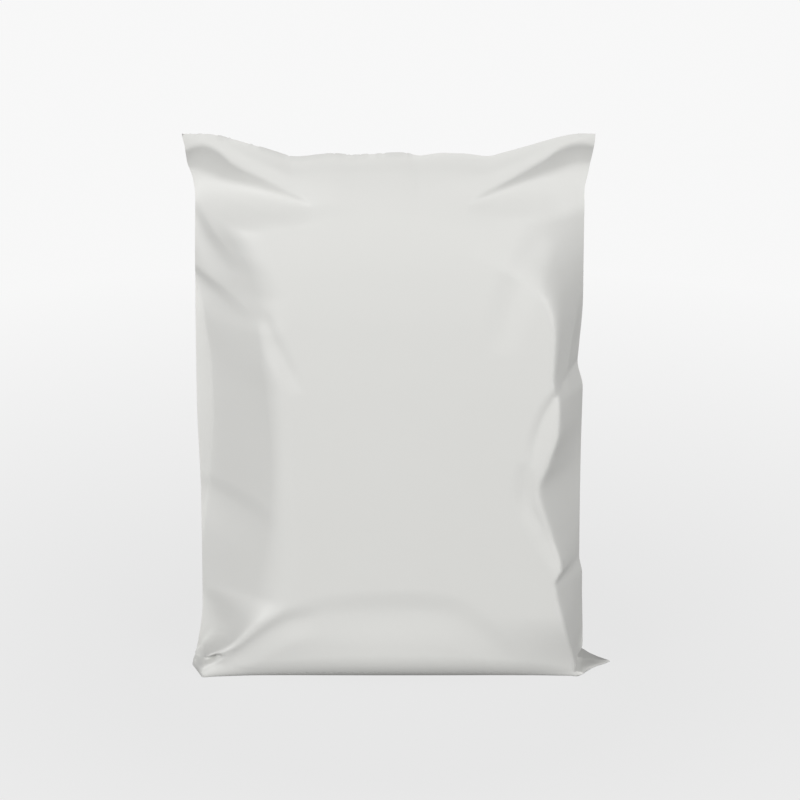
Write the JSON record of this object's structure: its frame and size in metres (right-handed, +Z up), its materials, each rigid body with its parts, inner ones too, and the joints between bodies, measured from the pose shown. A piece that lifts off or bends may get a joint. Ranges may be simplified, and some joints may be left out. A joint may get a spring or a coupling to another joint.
{
  "type": "poly mailer bag",
  "caption": "Filled and sealed plastic film mailing bag that stands upright on its folded base, with pleated top corners and flat corner ears.",
  "frame": {"origin": "on the surface that the bag stands on, in the middle of its folded base", "axes": "+X to the right as the front panel is seen, -Y out of the front panel, +Z up to the top fold"},
  "size_m": [0.245, 0.063, 0.3249],
  "materials": {
    "mailer_film": "matt light grey polyethylene film with a faint sheen, plain and unprinted"
  },
  "bodies": {
    "root": {"mailer_bag": "mailer_film"}
  },
  "joints": []
}
